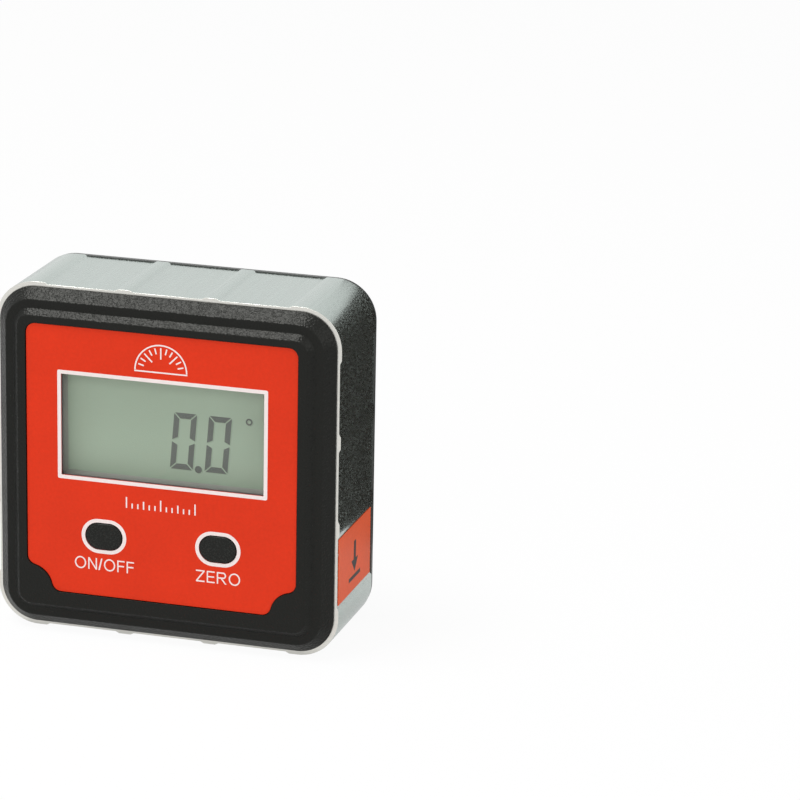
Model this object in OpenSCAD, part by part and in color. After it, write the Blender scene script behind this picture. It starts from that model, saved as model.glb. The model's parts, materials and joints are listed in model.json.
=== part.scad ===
// Digital angle gauge: a square level box with an extruded frame, moulded covers, a set-back display,
// two sprung keys, a magnetic base and a battery tray behind a sliding door.
// X is to the right, Y to the back, Z up. The base lands stand on Z = 0. Millimetres.

/* [Body] */
// Width over the side lands
body_w = 60; // [59:0.5:70]
// Height over the base and top lands
body_h = 60; // [58:0.5:70]
// Depth of the extruded frame
frame_d = 19.2; // [18:0.1:24]
// Outer corner radius of the frame
corner_r = 7; // [6.5:0.25:8.5]
// Frame wall at the sides and the top, out to the lands
frame_wall = 2.4; // [2:0.1:2.8]
// Frame wall at the base, which holds the magnets
base_wall = 4.2; // [4:0.1:5]
// Width of each channel along the frame's sides
channel_w = 13; // [9:0.5:13.5]
// Width of the lands between the channels
land_w = 2; // [1.5:0.25:4]
// Depth of the channels
channel_depth = 0.3; // [0.2:0.05:0.5]
// Run of the slope at each edge of a channel
channel_ramp = 0.6; // [0.1:0.05:0.8]

/* [Front cover] */
// How far the front cover stays inside the frame's edge
front_inset = 0.75; // [0.5:0.05:1]
// Height of the upright foot of the rim
rim_foot = 0.3; // [0.2:0.05:0.6]
// Rise of the rim's outer bevel above the frame
rim_rise = 2.25; // [2.1:0.05:3]
// Run of the rim's outer bevel
rim_slope = 1.75; // [1.2:0.05:2]
// Width of the flat ledge on the rim
ledge_w = 1.4; // [1:0.05:1.6]
// Rise of the inner bevel above the ledge
step_rise = 1.1; // [0.8:0.05:1.4]
// Run of the inner bevel
step_slope = 1; // [0.7:0.05:1.1]
// Rounding of the rim's edges
rim_round = 0.4; // [0.2:0.05:0.5]
// Wall behind the overlay
front_wall = 1.8; // [1.5:0.1:2.1]
// Thickness of the covers' skirts inside the frame
skirt_t = 1.4; // [1.1:0.1:1.6]
// Reach of the covers' skirts into the frame
skirt_len = 4; // [3:0.25:5]

/* [Overlay] */
// Thickness of the overlay film
overlay_t = 0.25; // [0.15:0.05:0.4]
// Depth of the recess that takes the overlay
overlay_recess = 0.5; // [0.4:0.05:0.7]
// Plateau left beside the overlay
overlay_side = 1.55; // [1:0.05:2]
// Plateau left above the overlay
overlay_top = 1.3; // [0.9:0.05:2]
// Plateau left below the overlay
overlay_foot = 2.6; // [1.5:0.05:3.5]
// Radius of the overlay's upper corners and of its notches' fillets
overlay_r = 1.6; // [1:0.1:2]
// Radius of the notches in the overlay's lower corners
notch_r = 4.1; // [2.5:0.1:4.6]
// Distance of a notch's centre inside the overlay's side edge
notch_side = 0.35; // [0.1:0.05:1.5]
// Height of a notch's centre above the overlay's lower edge
notch_foot = 0.3; // [0.1:0.05:1.5]

/* [Display] */
// Overlay left on each side of the display window
window_side = 5.9; // [5.6:0.1:8.5]
// Height of the display window
window_h = 17.5; // [14:0.1:18]
// Distance of the window's centre to the right of the gauge's centre
window_x = 0.2; // [0:0.05:0.4]
// Height of the window's centre above the gauge's centre
window_z = 6.85; // [6:0.05:7.5]
// Thickness of the clear lens
lens_t = 0.8; // [0.5:0.1:1]
// Width of the lens that the overlay covers
lens_lip = 0.9; // [0.6:0.1:1.5]
// Depth of the display glass behind the overlay's face
lcd_setback = 3.3; // [2.8:0.1:3.6]
// Thickness of each of the display's two glasses
lcd_glass_t = 0.9; // [0.7:0.05:1.1]
// Margin of the display glass around the window
lcd_margin = 1.45; // [1.1:0.05:1.6]
// Height of the contact ledge under the display
lcd_ledge = 2.2; // [1.8:0.1:2.4]
// Wall of the shroud between the window and the display
shroud_t = 1; // [0.8:0.05:1.05]
// Wall of the display's holder
holder_wall = 1.2; // [1:0.1:1.4]
// Space between the display and the circuit board
board_space = 1.6; // [1.3:0.1:2.2]

/* [Keys] */
// Width of a key
key_w = 6.35; // [5.5:0.05:8]
// Height of a key, with round ends
key_h = 4.45; // [4:0.05:5.4]
// Distance between the two keys' centres
key_pitch = 20; // [16:0.5:22]
// Distance of the keys below the gauge's centre
key_drop = 12; // [11.5:0.1:12.5]
// Travel of a key
key_travel = 0.5; // [0.3:0.05:0.6]
// How far a key stands out of the overlay
key_proud = 0.2; // [0:0.05:0.4]
// Gap around a key in its hole
key_gap = 0.15; // [0.1:0.05:0.25]
// Width of the flange that holds a key behind the front cover
key_flange = 0.85; // [0.6:0.05:1]
// Thickness of that flange
key_flange_t = 0.6; // [0.5:0.05:0.8]
// Side of a switch body
switch_w = 6; // [4.5:0.1:6.2]
// Diameter of a switch plunger
plunger_d = 3.4; // [2.5:0.1:3.8]

/* [Circuit board] */
// Thickness of the circuit board
board_t = 1.6; // [1:0.1:1.8]
// Outer diameter of the bosses under the circuit board
boss_d = 4.2; // [3.8:0.1:4.4]
// Diameter of the board screws
board_screw_d = 2; // [1.6:0.1:2.2]
// Side of the controller chip
chip_w = 8; // [6:0.5:10]
// Side of the tilt sensor
sensor_w = 5; // [3:0.5:6]

/* [Batteries] */
// Diameter of a cell
cell_d = 10.5; // [8:0.1:10.8]
// Wall at each end of the battery tray, inside the rear cover's skirt
tray_end = 1.25; // [1:0.05:2]
// Play around a cell in its trough
cell_play = 0.15; // [0.1:0.05:0.25]
// Length of a contact spring as compressed
spring_len = 4.2; // [3.5:0.1:4.3]
// Wire diameter of a contact spring
wire_d = 0.6; // [0.4:0.05:0.7]
// Turns of a contact spring
spring_turns = 4; // [3:0.5:4.5]
// Thickness of the contact plates
plate_t = 0.4; // [0.3:0.05:0.5]
// Width of the contact plates
plate_w = 8.4; // [6:0.2:9]

/* [Rear cover and door] */
// Rise of the rear cover behind the frame
rear_rise = 4.4; // [4:0.1:6]
// How far the rear cover stays inside the lands
rear_inset = 0.1; // [0.1:0.05:0.3]
// Height of the upright foot of the rear rim
rear_foot = 0.8; // [0.5:0.1:1.2]
// Run of the rear rim's bevel
rear_slope = 2.4; // [1.8:0.1:2.8]
// Rear wall
rear_wall = 2; // [1.8:0.1:2.2]
// Thickness of the battery door
door_t = 1.9; // [1.6:0.1:2.1]
// Height of the door's tongues, which run under the rear cover's lips
tongue_w = 1; // [0.7:0.1:1.3]
// Clearance around the door
door_gap = 0.15; // [0.1:0.05:0.25]
// Number of grip grooves on the door
grip_count = 5; // [3:1:7]

/* [Fasteners and magnets] */
// Diameter of the cover screws
cover_screw_d = 2.5; // [2:0.1:2.8]
// Diameter of the front cover's posts
post_d = 6; // [5:0.1:6.2]
// Diameter of the base magnets
magnet_d = 10; // [8:0.5:11]
// Thickness of the base magnets
magnet_t = 3; // [2:0.1:3.2]
// Thickness of the side sticker
sticker_t = 0.12; // [0.08:0.01:0.15]

/* [Hidden] */
$fn = 64;
fit_gap = 0.1;
overlap = 0.5;
thread_gap = 0.05;

// Planes along the depth, from the front to the back
front_rise = rim_rise + step_rise;
depth = front_rise + frame_d + rear_rise;
y_front = -depth / 2;
y_frame = y_front + front_rise;
y_frame_rear = y_frame + frame_d;
y_back = y_frame_rear + rear_rise;
y_overlay_floor = y_front + overlay_recess;
y_overlay = y_overlay_floor - overlay_t;
y_roof = y_overlay_floor + front_wall;
y_lcd = y_overlay + lcd_setback;
y_lcd_back = y_lcd + 2 * lcd_glass_t;
y_board = y_lcd_back + board_space;
y_board_back = y_board + board_t;
y_post = (y_frame + y_frame_rear) / 2;

// The frame's cavity, and the covers' skirts that plug into it
z_mid = body_h / 2;
cavity_half = body_w / 2 - frame_wall;
cavity_z0 = base_wall;
cavity_z1 = body_h - frame_wall;
cavity_r = corner_r - frame_wall;
skirt_gap = 0.15;
skirt_in = skirt_gap + skirt_t;
inner_half = cavity_half - skirt_in;

// Front cover outline and plateau
front_w = body_w - 2 * front_inset;
front_h = body_h - 2 * front_inset;
front_r = corner_r - front_inset;
plateau_in = rim_slope + ledge_w + step_slope;
plateau_half = front_w / 2 - plateau_in;
plateau_z0 = front_inset + plateau_in;
plateau_z1 = body_h - front_inset - plateau_in;
rim_band = 0.85;
rim_in = plateau_in + rim_band;
rim_hollow = 3.2;

// Overlay edges
overlay_half = plateau_half - overlay_side;
overlay_z0 = plateau_z0 + overlay_foot;
overlay_z1 = plateau_z1 - overlay_top;
notch_c = [overlay_half - notch_side, overlay_z0 + notch_foot];

// Display edges
window_w = 2 * (overlay_half - window_side);
window_z0 = z_mid + window_z - window_h / 2;
window_z1 = window_z0 + window_h;
lcd_half = window_w / 2 + lcd_margin;
lcd_z1 = window_z1 + lcd_margin;
lcd_back_z0 = window_z0 - lcd_margin;
lcd_z0 = lcd_back_z0 - lcd_ledge;
holder_half = lcd_half + fit_gap + holder_wall;
holder_z0 = lcd_z0 - fit_gap - holder_wall;
holder_z1 = lcd_z1 + fit_gap + holder_wall;
holder_lip = 1.2;

// Keys and switches
key_z = z_mid - key_drop;
key_x = key_pitch / 2;
key_rest_gap = 0.1;
y_key = y_overlay - key_proud;
y_key_back = y_roof + key_rest_gap + key_flange_t;
plunger_reserve = 0.15;
plunger_proud = key_travel + plunger_reserve;
plunger_sunk = 1.2;
y_switch = y_key_back + plunger_proud;

// Posts for the cover screws, bosses for the board screws
post_edge = 5;
post_x = cavity_half - post_edge;
post_zs = [cavity_z0 + post_edge, cavity_z1 - post_edge];
rear_post_d = 7.6;
post_gap = 0.1;
head_d = 4.6;
head_h = 1.8;
head_sunk = 0.6;
y_head = y_back - head_sunk - head_h;
screw_bite = 7;
boss_x = window_x + holder_half + fit_gap + boss_d / 2;
board_gap = 0.5;
board_half = inner_half - board_gap;
board_z0 = post_zs[0] + post_d / 2 + board_gap;
board_z1 = post_zs[1] - post_d / 2 - board_gap;
boss_edge = 2.5;
boss_zs = [board_z0 + boss_edge, board_z1 - boss_edge];
board_screw_len = 4.5;
board_head_d = 1.8 * board_screw_d;
board_head_h = 1.2;
chip_up = 7;
chip_t = 1.4;
chip_legs = 8;
sensor_down = 10;
sensor_t = 1.6;
sensor_legs = 4;
cap_len = 1.6;
cap_t = 1;
cap_w = 0.9;
cap_pitch = 2.4;
cap_away = 6;
cap_count = 4;

// Rear cover, door and battery tray
rear_w = body_w - 2 * rear_inset;
rear_h = body_h - 2 * rear_inset;
rear_r = corner_r - rear_inset;
rear_band = 2.6;
rear_side_wall = 1;
rear_in = rear_slope + rear_band;
rear_hollow = rear_slope + rear_side_wall;
channel_floor = rear_rise - door_t - fit_gap;
y_door = y_back - door_t;
trough_r = cell_d / 2 + cell_play;
trough_ridge = 0.3;
cell_pitch = 2 * trough_r + trough_ridge;
cell_zs = [z_mid - cell_pitch / 2, z_mid + cell_pitch / 2];
cell_clear = 0.3;
y_cell = y_door - cell_clear - cell_d / 2;
tray_wall = 1.2;
tray_half = inner_half - tray_end;
cell_len = 2 * (tray_half - plate_t) - spring_len - fit_gap;
tray_bond = 0.4;
tray_out = inner_half + tray_bond;
tray_z = cell_pitch / 2 + trough_r;
y_tray = y_cell - trough_r - tray_wall;
door_margin = 2;
door_end = 0.6;
door_z = tray_z + door_margin;
door_x0 = -tray_half - door_end;
tongue_t = door_t / 2;
seat_t = 1.5;
seat_margin = 1.4;
seat_z = door_z + tongue_w + door_gap + seat_margin;
grip_pitch = 2.2;
grip_len = 14;
grip_depth = 0.4;
contact_x = tray_half - plate_t;
tail_w = 2;
tail_play = 0.2;

function unit(v) = v / norm(v);

// Points along an arc about c from angle a0 to a1
function arc(c, r, a0, a1, n = 8) =
    [for (i = [0 : n]) c + r * [cos(a0 + (a1 - a0) * i / n), sin(a0 + (a1 - a0) * i / n)]];

// Points that round the corner p1 between p0 and p2
function rounded(p0, p1, p2, r, n = 4) =
    let (
        a = unit(p0 - p1),
        b = unit(p2 - p1),
        half = acos(a * b) / 2,
        c = p1 + unit(a + b) * r / sin(half),
        s = p1 + a * r / tan(half) - c,
        e = p1 + b * r / tan(half) - c,
        a0 = atan2(s[1], s[0]),
        turn = atan2(e[1], e[0]) - a0,
        sweep = turn > 180 ? turn - 360 : turn < -180 ? turn + 360 : turn
    )
    arc(c, r, a0, a0 + sweep, n);

// Extrudes a shape drawn in X and Z from y0 back to y1
module plate(y0, y1) {
    translate([0, y1, 0])
        rotate([90, 0, 0])
            linear_extrude(y1 - y0)
                children();
}

module rect(x0, x1, z0, z1) {
    translate([x0, z0])
        square([x1 - x0, z1 - z0]);
}

module rounded_rect(x0, x1, z0, z1, r) {
    rect(x0 + r, x1 - r, z0, z1);
    rect(x0, x1, z0 + r, z1 - r);
    for (x = [x0 + r, x1 - r], z = [z0 + r, z1 - r])
        translate([x, z])
            circle(r);
}

// A shape with round ends, centred on x and z
module stadium(x, z, w, h) {
    rect(x - (w - h) / 2, x + (w - h) / 2, z - h / 2, z + h / 2);
    for (side = [-1, 1])
        translate([x + side * (w - h) / 2, z])
            circle(h / 2);
}

// A cylinder along the depth, from y0 back to y1
module rod(x, z, d, y0, y1) {
    translate([x, y1, z])
        rotate([90, 0, 0])
            cylinder(d = d, h = y1 - y0);
}

// A profile of [distance inside the outline, rise] swept round a rounded rectangle in X and Y
module rim_sweep(w, h, r, profile) {
    for (i = [0 : 3]) {
        across = i % 2 == 0 ? w : h;
        along = i % 2 == 0 ? h : w;
        rotate(90 * i)
            translate([across / 2, 0, 0])
                rotate([90, 0, 0])
                    linear_extrude(along - 2 * r, center = true)
                        polygon([for (p = profile) [-p[0], p[1]]]);
        translate([(i % 3 == 0 ? 1 : -1) * (w / 2 - r), (i < 2 ? 1 : -1) * (h / 2 - r), 0])
            rotate(90 * i)
                rotate_extrude(angle = 90)
                    polygon([for (p = profile) [r - p[0], p[1]]]);
    }
}

// The frame's cavity outline, drawn inwards by inset
module cavity_outline(inset) {
    rounded_rect(
        -cavity_half + inset, cavity_half - inset,
        cavity_z0 + inset, cavity_z1 - inset, cavity_r - inset
    );
}

// A skirt inside the frame from y0 back to y1
module skirt(y0, y1) {
    plate(y0, y1)
        difference() {
            cavity_outline(skirt_gap);
            cavity_outline(skirt_in);
        }
}

// The overlay's outline, drawn outwards by margin
module overlay_outline(margin) {
    lower = [
        notch_c[0] - sqrt(pow(notch_r + overlay_r, 2) - pow(overlay_r - notch_foot, 2)),
        overlay_z0 + overlay_r
    ];
    side = [
        overlay_half - overlay_r,
        notch_c[1] + sqrt(pow(notch_r + overlay_r, 2) - pow(overlay_r - notch_side, 2))
    ];
    upper = [overlay_half - overlay_r, overlay_z1 - overlay_r];
    to_lower = atan2(lower[1] - notch_c[1], lower[0] - notch_c[0]);
    to_side = atan2(side[1] - notch_c[1], side[0] - notch_c[0]);
    to_lower_up = to_lower < 0 ? to_lower + 360 : to_lower;
    right = concat(
        arc(lower, overlay_r + margin, -90, to_lower_up - 180),
        arc(notch_c, notch_r - margin, to_lower_up, to_side, 12),
        arc(side, overlay_r + margin, to_side - 180, 0),
        arc(upper, overlay_r + margin, 0, 90)
    );
    last = len(right) - 1;
    polygon(concat(right, [for (i = [last : -1 : 0]) [-right[i][0], right[i][1]]]));
}

// A rectangle about the display's upright middle line
module display_rect(half, z0, z1) {
    rect(window_x - half, window_x + half, z0, z1);
}

module window_rect(margin) {
    display_rect(window_w / 2 + margin, window_z0 - margin, window_z1 + margin);
}

module both_keys() {
    for (side = [-1, 1])
        translate([side * key_x, key_z])
            children();
}

module frame() {
    pitch = channel_w + land_w;
    color("silver")
        difference() {
            plate(y_frame, y_frame_rear)
                difference() {
                    rounded_rect(-body_w / 2, body_w / 2, 0, body_h, corner_r);
                    cavity_outline(0);
                    for (i = [0 : 3], k = [-1 : 1])
                        translate([0, z_mid])
                            rotate(90 * i)
                                translate([k * pitch, -(i % 2 == 0 ? body_h : body_w) / 2])
                                    channel_cut();
                }
            for (k = [-1 : 1])
                translate([k * pitch, (y_frame + y_frame_rear) / 2, -overlap])
                    cylinder(d = magnet_d + 2 * fit_gap, h = channel_depth + magnet_t + overlap);
        }
}

// One channel's section, open downwards
module channel_cut() {
    foot = channel_w / 2 - channel_ramp;
    polygon([
        [-channel_w / 2, 0], [-channel_w / 2, -overlap], [channel_w / 2, -overlap], [channel_w / 2, 0],
        [foot, channel_depth], [-foot, channel_depth]
    ]);
}

// A disc magnet flush with the floor of a base channel
module magnet(place) {
    chamfer = 0.3;
    r = magnet_d / 2;
    color("gainsboro")
        translate([place * (channel_w + land_w), (y_frame + y_frame_rear) / 2, channel_depth])
            rotate_extrude()
                polygon([
                    [0, 0], [r - chamfer, 0], [r, chamfer],
                    [r, magnet_t - chamfer], [r - chamfer, magnet_t], [0, magnet_t]
                ]);
}

module front_form() {
    foot = [0, rim_foot];
    shoulder = [rim_slope, rim_rise];
    ledge = [rim_slope + ledge_w, rim_rise];
    brow = [plateau_in, front_rise];
    roof = y_frame - y_roof;
    profile = concat(
        [[0, 0], foot],
        rounded(foot, shoulder, ledge, rim_round),
        rounded(shoulder, ledge, brow, rim_round / 2),
        rounded(ledge, brow, [rim_in, front_rise], rim_round),
        [[rim_in, front_rise], [rim_in, roof], [rim_hollow, roof], [rim_hollow, 0]]
    );
    translate([0, y_frame, z_mid])
        rotate([90, 0, 0])
            rim_sweep(front_w, front_h, front_r, profile);
    core = rim_in - overlap;
    plate(y_front, y_roof)
        rounded_rect(
            -front_w / 2 + core, front_w / 2 - core,
            front_inset + core, body_h - front_inset - core, front_r - core
        );
}

module front_cover() {
    color([0.2, 0.2, 0.19])
        difference() {
            union() {
                front_form();
                skirt(y_roof - overlap, y_frame + skirt_len);
                plate(y_roof - overlap, y_lcd)
                    window_rect(shroud_t);
                for (side = [-1, 1], z = post_zs)
                    rod(side * post_x, z, post_d, y_roof - overlap, y_post - post_gap);
                for (side = [-1, 1], z = boss_zs)
                    rod(side * boss_x, z, boss_d, y_roof - overlap, y_board);
            }
            plate(y_front - overlap, y_overlay_floor)
                overlay_outline(fit_gap);
            plate(y_overlay_floor - overlap, y_overlay_floor + lens_t)
                window_rect(lens_lip);
            plate(y_front, y_lcd + overlap)
                window_rect(0);
            plate(y_front, y_roof + overlap)
                both_keys()
                    stadium(0, 0, key_w + 2 * key_gap, key_h + 2 * key_gap);
            for (side = [-1, 1], z = post_zs)
                rod(
                    side * post_x, z, cover_screw_d + 2 * thread_gap,
                    y_post - screw_bite - 1, y_post
                );
            for (side = [-1, 1], z = boss_zs)
                rod(
                    side * boss_x, z, board_screw_d + 2 * thread_gap,
                    y_board_back - board_screw_len - fit_gap, y_board + overlap
                );
        }
}

module front_overlay() {
    color([0.86, 0.24, 0.14])
        plate(y_overlay, y_overlay_floor)
            difference() {
                overlay_outline(0);
                window_rect(0);
                both_keys()
                    stadium(0, 0, key_w + 2 * key_gap, key_h + 2 * key_gap);
            }
}

module display_window() {
    color([0.85, 0.9, 0.88, 0.35])
        plate(y_overlay_floor, y_overlay_floor + lens_t)
            window_rect(lens_lip - fit_gap);
}

module lcd_panel() {
    color([0.6, 0.67, 0.58]) {
        plate(y_lcd, y_lcd + lcd_glass_t)
            display_rect(lcd_half, lcd_z0, lcd_z1);
        plate(y_lcd + lcd_glass_t, y_lcd_back)
            display_rect(lcd_half, lcd_back_z0, lcd_z1);
    }
}

module lcd_holder() {
    color("whitesmoke")
        difference() {
            plate(y_roof, y_board)
                display_rect(holder_half, holder_z0, holder_z1);
            plate(y_roof - overlap, y_lcd_back)
                display_rect(lcd_half + fit_gap, lcd_z0 - fit_gap, lcd_z1 + fit_gap);
            plate(y_lcd, y_board + overlap)
                display_rect(lcd_half - holder_lip, lcd_z0 - fit_gap, lcd_z1 - holder_lip);
        }
}

// The strip presses on the contact ledge under the display
module zebra_strip() {
    color("dimgray")
        plate(y_lcd + lcd_glass_t, y_board)
            display_rect(lcd_half - 2 * holder_lip, lcd_z0, lcd_back_z0 - fit_gap);
}

module circuit_board() {
    color("seagreen")
        plate(y_board, y_board_back)
            difference() {
                rect(-board_half, board_half, board_z0, board_z1);
                for (side = [-1, 1], z = boss_zs)
                    translate([side * boss_x, z])
                        circle(d = board_screw_d + 2 * fit_gap);
            }
}

// A switch body on the board, with a bore for its plunger
module key_switch(side) {
    leg_w = 0.8;
    leg_out = 1;
    leg_t = 0.3;
    half = switch_w / 2;
    color("dimgray")
        translate([side * key_x, 0, key_z])
            difference() {
                union() {
                    plate(y_switch, y_board)
                        rect(-half, half, -half, half);
                    for (z = [-half + leg_w, half - leg_w])
                        plate(y_board - leg_t, y_board)
                            rect(-half - leg_out, half + leg_out, z - leg_w / 2, z + leg_w / 2);
                }
                rod(
                    0, 0, plunger_d + 2 * fit_gap, y_switch - overlap,
                    y_switch + plunger_sunk + key_travel + fit_gap
                );
            }
}

module key_plunger(side) {
    color("black")
        rod(side * key_x, key_z, plunger_d, y_key_back, y_switch + plunger_sunk);
}

// A key with a crowned face and a flange behind the front cover
module key(side) {
    crown = 0.2;
    color([0.12, 0.12, 0.12])
        translate([side * key_x, 0, key_z]) {
            plate(y_key + crown, y_key_back)
                stadium(0, 0, key_w, key_h);
            plate(y_key, y_key + crown + fit_gap)
                stadium(0, 0, key_w - 2 * crown, key_h - 2 * crown);
            plate(y_roof + key_rest_gap, y_key_back)
                stadium(0, 0, key_w + 2 * key_flange, key_h + 2 * key_flange);
        }
}

// A chip body with a row of legs on its left and right sides, on the back of the board
module chip(x, z, w, t, legs) {
    leg_t = 0.25;
    leg_out = 0.9;
    pitch = w / (legs + 1);
    translate([x, 0, z]) {
        plate(y_board_back, y_board_back + t)
            rect(-w / 2, w / 2, -w / 2, w / 2);
        for (k = [1 : legs])
            plate(y_board_back, y_board_back + leg_t)
                translate([0, k * pitch - w / 2])
                    square([w + 2 * leg_out, pitch / 2], center = true);
    }
}

module controller_chip() {
    color("black")
        chip(0, z_mid + chip_up, chip_w, chip_t, chip_legs);
}

module tilt_sensor() {
    color("dimgray")
        chip(0, z_mid - sensor_down, sensor_w, sensor_t, sensor_legs);
}

// A small can lying on the back of the board
module crystal() {
    can_d = 2;
    can_len = 6;
    foot_in = 0.5;
    color("gainsboro")
        translate([chip_w, y_board_back + can_d / 2, z_mid + chip_up]) {
            rotate([0, 90, 0])
                cylinder(d = can_d, h = can_len);
            translate([foot_in, -can_d / 2, -can_d / 4])
                cube([can_len - 2 * foot_in, can_d / 2, can_d / 2]);
        }
}

module capacitors() {
    color("tan")
        for (k = [0 : cap_count - 1])
            translate([-chip_w - cap_away, y_board_back, z_mid + chip_up + (k - cap_count / 2) * cap_pitch])
                cube([cap_len, cap_t, cap_w]);
}

module board_screws() {
    color("silver")
        for (side = [-1, 1], z = boss_zs) {
            rod(
                side * boss_x, z, board_screw_d,
                y_board_back - board_screw_len, y_board_back + board_head_h / 2
            );
            difference() {
                rod(side * boss_x, z, board_head_d, y_board_back, y_board_back + board_head_h);
                translate([side * boss_x, y_board_back + board_head_h, z])
                    cross_slot(board_head_d, board_head_h / 2);
            }
        }
}

// A cross recess centred on a screw head's face
module cross_slot(d, deep) {
    for (turn = [0, 90])
        rotate([0, turn, 0])
            cube([0.7 * d, 2 * deep, 0.18 * d], center = true);
}

module rear_form() {
    foot = [0, rear_foot];
    edge = [rear_slope, rear_rise];
    roof = rear_rise - rear_wall;
    profile = concat(
        [[0, 0], foot],
        rounded(foot, edge, [rear_in, rear_rise], 2 * rim_round),
        [[rear_in, rear_rise], [rear_in, roof], [rear_hollow, roof], [rear_hollow, 0]]
    );
    translate([0, y_frame_rear, z_mid])
        mirror([0, 1, 0])
            rotate([90, 0, 0])
                rim_sweep(rear_w, rear_h, rear_r, profile);
    core = rear_in - overlap;
    plate(y_back - rear_wall, y_back)
        rounded_rect(
            -rear_w / 2 + core, rear_w / 2 - core,
            rear_inset + core, body_h - rear_inset - core, rear_r - core
        );
}

// The door's section, drawn outwards by gap, from x0 to x1
module door_slab(x0, x1, gap) {
    lip = y_back - door_t + tongue_t;
    plate(lip - overlap, y_back + (gap > 0 ? overlap : 0))
        rect(x0 - gap, x1, z_mid - door_z - gap, z_mid + door_z + gap);
    plate(y_door - (gap > 0 ? fit_gap : 0), lip + (gap > 0 ? fit_gap : 0))
        rect(x0 - gap, x1, z_mid - door_z - tongue_w - gap, z_mid + door_z + tongue_w + gap);
}

module rear_cover() {
    y_seat = y_frame_rear + channel_floor;
    color([0.2, 0.2, 0.19])
        difference() {
            union() {
                rear_form();
                skirt(y_frame_rear - skirt_len, y_back - rear_wall + overlap);
                plate(y_tray, y_seat)
                    rect(-tray_out, tray_out, z_mid - tray_z - tray_wall, z_mid + tray_z + tray_wall);
                plate(y_seat - seat_t, y_seat + overlap)
                    rect(-tray_out, tray_out, z_mid - seat_z, z_mid + seat_z);
                for (side = [-1, 1], z = post_zs)
                    rod(side * post_x, z, rear_post_d, y_post + post_gap, y_back - rear_wall + overlap);
            }
            door_slab(door_x0, body_w, door_gap);
            plate(y_cell, y_back)
                rect(-tray_half, tray_half, z_mid - tray_z, z_mid + tray_z);
            for (z = cell_zs)
                translate([-tray_half, y_cell, z])
                    rotate([0, 90, 0])
                        cylinder(r = trough_r, h = 2 * tray_half);
            for (z = cell_zs)
                plate(y_tray - overlap, y_cell + overlap)
                    rect(
                        contact_x - tail_play, tray_half,
                        z - tail_w / 2 - tail_play, z + tail_w / 2 + tail_play
                    );
            for (side = [-1, 1], z = post_zs) {
                rod(side * post_x, z, cover_screw_d + 4 * fit_gap, y_post - overlap, y_back + overlap);
                rod(side * post_x, z, head_d + 4 * fit_gap, y_head, y_back + overlap);
            }
        }
}

module battery_door() {
    grip_in = 3;
    grip_x = body_w / 2 - rear_slope - grip_in;
    color([0.2, 0.2, 0.19])
        difference() {
            intersection() {
                rear_form();
                door_slab(door_x0, body_w, 0);
            }
            for (k = [0 : grip_count - 1])
                translate([grip_x - grip_pitch * k, y_back, z_mid])
                    rotate([0, 0, 45])
                        cube([sqrt(2) * grip_depth, sqrt(2) * grip_depth, grip_len], center = true);
        }
}

// A cell along X with its nub towards +X, its base at the origin
module cell() {
    r = cell_d / 2;
    nub_r = 1.9;
    nub_len = 1.2;
    edge = 0.5;
    shoulder = cell_len - nub_len;
    rotate([0, 90, 0])
        rotate_extrude()
            polygon([
                [0, 0], [r - edge, 0], [r, edge], [r, shoulder - edge], [r - edge, shoulder],
                [nub_r, shoulder], [nub_r, cell_len], [0, cell_len]
            ]);
}

module battery_upper() {
    color("goldenrod")
        translate([contact_x - cell_len - fit_gap / 2, y_cell, cell_zs[1]])
            cell();
}

module battery_lower() {
    color("goldenrod")
        translate([-contact_x + cell_len + fit_gap / 2, y_cell, cell_zs[0]])
            mirror([1, 0, 0])
                cell();
}

// The part of a contact plate behind one cell, round where it sits in the trough
module contact_face(z) {
    translate([0, y_cell, z])
        rotate([0, 90, 0])
            cylinder(d = plate_w, h = plate_t);
    translate([0, y_cell, z - plate_w / 2])
        cube([plate_t, plate_w / 2, plate_w]);
}

// A flat contact against the tray's end wall, with a tail soldered to the board
module tailed_contact(z) {
    color("lightgray")
        translate([contact_x, 0, 0]) {
            contact_face(z);
            translate([0, y_board_back, z - tail_w / 2])
                cube([plate_t, y_cell - y_board_back, tail_w]);
        }
}

module positive_plate() {
    tailed_contact(cell_zs[1]);
}

module negative_plate() {
    tailed_contact(cell_zs[0]);
}

module bridge_plate() {
    color("lightgray")
        translate([-tray_half, 0, 0]) {
            for (z = cell_zs)
                contact_face(z);
            translate([0, y_cell, z_mid - cell_pitch / 2])
                cube([plate_t, plate_w / 2, cell_pitch]);
        }
}

// A conical coil along X, wide at its base, which stands at the origin
module coil() {
    base_r = 3.6;
    tip_r = 2.4;
    sides = 6;
    steps = ceil(14 * spring_turns);
    wire_r = wire_d / 2;
    reach = spring_len - wire_d - fit_gap;
    points = [
        for (i = [0 : steps], k = [0 : sides - 1])
            let (
                t = i / steps,
                turn = 360 * spring_turns * t,
                r = base_r + (tip_r - base_r) * t + wire_r * cos(360 * k / sides)
            )
            [wire_r + fit_gap / 2 + reach * t + wire_r * sin(360 * k / sides), r * cos(turn), r * sin(turn)]
    ];
    walls = [
        for (i = [0 : steps - 1], k = [0 : sides - 1])
            let (a = i * sides + k, b = i * sides + (k + 1) % sides)
            each [[a, a + sides, b + sides], [a, b + sides, b]]
    ];
    ends = [
        [for (k = [0 : sides - 1]) k],
        [for (k = [sides - 1 : -1 : 0]) steps * sides + k]
    ];
    polyhedron(points, concat(walls, ends));
}

module spring_upper() {
    color("silver")
        translate([-contact_x, y_cell, cell_zs[1]])
            coil();
}

module spring_lower() {
    color("silver")
        translate([contact_x, y_cell, cell_zs[0]])
            rotate(180)
                coil();
}

module cover_screws() {
    color("dimgray")
        for (side = [-1, 1], z = post_zs) {
            rod(side * post_x, z, cover_screw_d, y_post - screw_bite, y_head + head_h / 2);
            difference() {
                rod(side * post_x, z, head_d, y_head, y_head + head_h);
                translate([side * post_x, y_head + head_h, z])
                    cross_slot(head_d, head_h / 2);
            }
        }
}

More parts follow.
